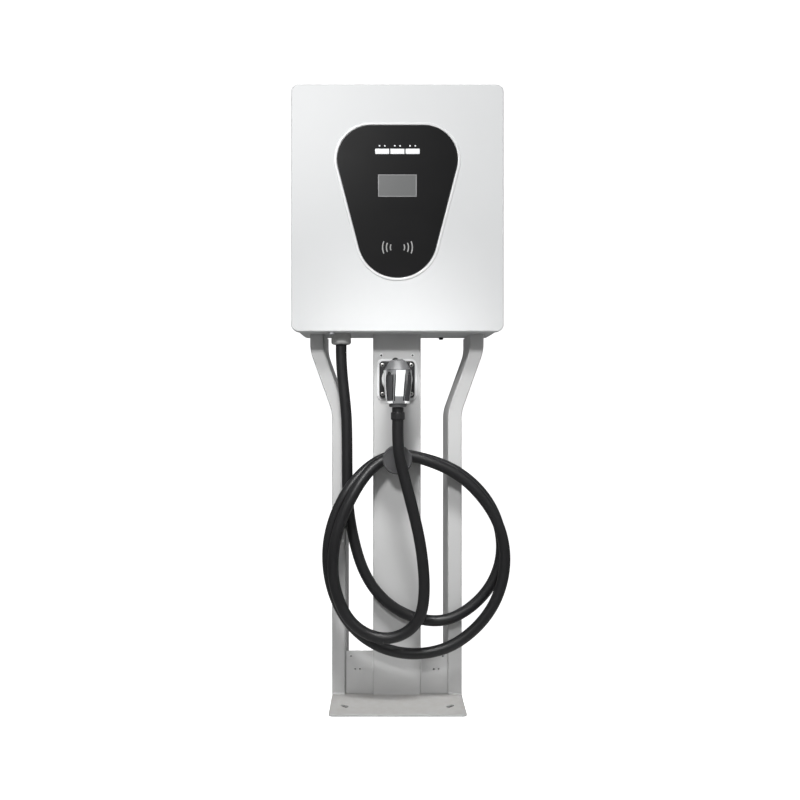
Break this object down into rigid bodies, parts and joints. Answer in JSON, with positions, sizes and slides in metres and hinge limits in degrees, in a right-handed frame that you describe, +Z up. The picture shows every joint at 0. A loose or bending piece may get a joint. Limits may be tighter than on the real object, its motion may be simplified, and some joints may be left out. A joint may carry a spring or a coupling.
{
  "type": "ev charging post",
  "caption": "Flat-fronted DC charging cabinet on a cranked two-column pedestal, with a holstered charging gun and its cable looped over a hanger.",
  "frame": {"origin": "on the floor face of the foot, below the middle of the centre post's front face", "axes": "+Z up, -Y towards the user in front of the display, +X to the user's right"},
  "size_m": [0.5418, 0.3153, 1.533],
  "materials": {
    "cabinet_paint": "satin powder coat",
    "housing_paint": "satin powder coat",
    "pedestal_paint": "satin powder coat",
    "panel_plastic": "satin gloss",
    "bezel_plastic": "satin",
    "screen_glass": "glass-like",
    "light_lens": "diffuse lens",
    "cable_rubber": "satin jacket",
    "seal_rubber": "matte",
    "black_plastic": "fine texture",
    "grey_plastic": "fine texture",
    "gun_plastic": "satin",
    "gun_grey": "fine texture",
    "zinc_steel": "zinc plated",
    "bright_steel": "stainless",
    "circuit_board": "solder resist",
    "module_aluminium": "satin",
    "stud_copper": "copper plated"
  },
  "bodies": {
    "post": {"rear_housing": "housing_paint", "foot_plate": "pedestal_paint", "left_column": "pedestal_paint", "right_column": "pedestal_paint", "centre_post": "pedestal_paint", "left_kick_plate": "pedestal_paint", "right_kick_plate": "pedestal_paint", "left_back_strap": "pedestal_paint", "right_back_strap": "pedestal_paint", "holster_backing": "bezel_plastic", "charging_cable": "cable_rubber", "holster_flange": "black_plastic", "hanger_disc": "black_plastic", "breather_plug": "black_plastic", "fan_frame_lower": "black_plastic", "fan_frame_upper": "black_plastic", "dc_contactor": "black_plastic", "gland_body": "grey_plastic", "gland_lock_nut": "grey_plastic", "breaker_body": "grey_plastic", "terminal_block": "grey_plastic", "mounting_plate": "zinc_steel", "din_rail": "zinc_steel", "lock_keeper": "zinc_steel", "hinge_leaf_upper_frame": "zinc_steel", "hinge_leaf_lower_frame": "zinc_steel", "holster_screw_1": "bright_steel", "holster_screw_2": "bright_steel", "holster_screw_3": "bright_steel", "holster_screw_4": "bright_steel", "hanger_peg": "bright_steel", "hanger_bolt": "bright_steel", "hinge_pin_upper": "bright_steel", "hinge_pin_lower": "bright_steel", "control_board": "circuit_board", "power_module": "module_aluminium", "earth_stud": "stud_copper"},
    "door": {"front_door": "cabinet_paint", "door_seal": "seal_rubber", "panel_bezel": "bezel_plastic", "display_panel": "panel_plastic", "lcd_module": "screen_glass", "led_light_guide": "light_lens", "reader_board": "circuit_board", "lock_barrel": "zinc_steel", "status_light_left": "light_lens", "status_light_middle": "light_lens", "status_light_right": "light_lens", "hinge_leaf_upper_door": "zinc_steel", "hinge_leaf_lower_door": "zinc_steel"},
    "gun": {"gun_shell": "gun_plastic", "gun_rear_cap": "gun_grey", "gun_nose": "black_plastic", "gun_cable_nut": "black_plastic"},
    "lock": {"lock_hook": "zinc_steel"},
    "fan_lower": {"fan_rotor_lower": "black_plastic"},
    "fan_upper": {"fan_rotor_upper": "black_plastic"},
    "breaker_toggle": {"breaker_lever": "black_plastic"},
    "gun_button": {"gun_release_button": "gun_grey"}
  },
  "joints": [
    {"name": "door_hinge", "type": "hinge", "parent": "post", "child": "door", "pos_m": [0.2595, -0.044, 1.229], "axis": [0, 0, 1], "range_deg": [0, 110]},
    {"name": "lock_turn", "type": "hinge", "parent": "door", "child": "lock", "pos_m": [-0.162, -0.062, 0.94], "axis": [0, 0, -1], "range_deg": [0, 80]},
    {"name": "fan_lower_spin", "type": "hinge", "parent": "post", "child": "fan_lower", "pos_m": [0.24, 0.039, 1.08], "axis": [1, 0, 0], "continuous": true},
    {"name": "fan_upper_spin", "type": "hinge", "parent": "post", "child": "fan_upper", "pos_m": [0.24, 0.039, 1.195], "axis": [1, 0, 0], "continuous": true},
    {"name": "breaker_switch", "type": "hinge", "parent": "post", "child": "breaker_toggle", "pos_m": [-0.1545, 0.0461, 1.403], "axis": [1, 0, 0], "range_deg": [0, 70]},
    {"name": "gun_pull", "type": "slide", "parent": "post", "child": "gun", "axis": [0, -1, 0], "range_m": [0, 0.12]},
    {"name": "button_press", "type": "slide", "parent": "gun", "child": "gun_button", "axis": [0, 0, -1], "range_m": [0, 0.003], "stiffness_N_per_m": 600}
  ]
}
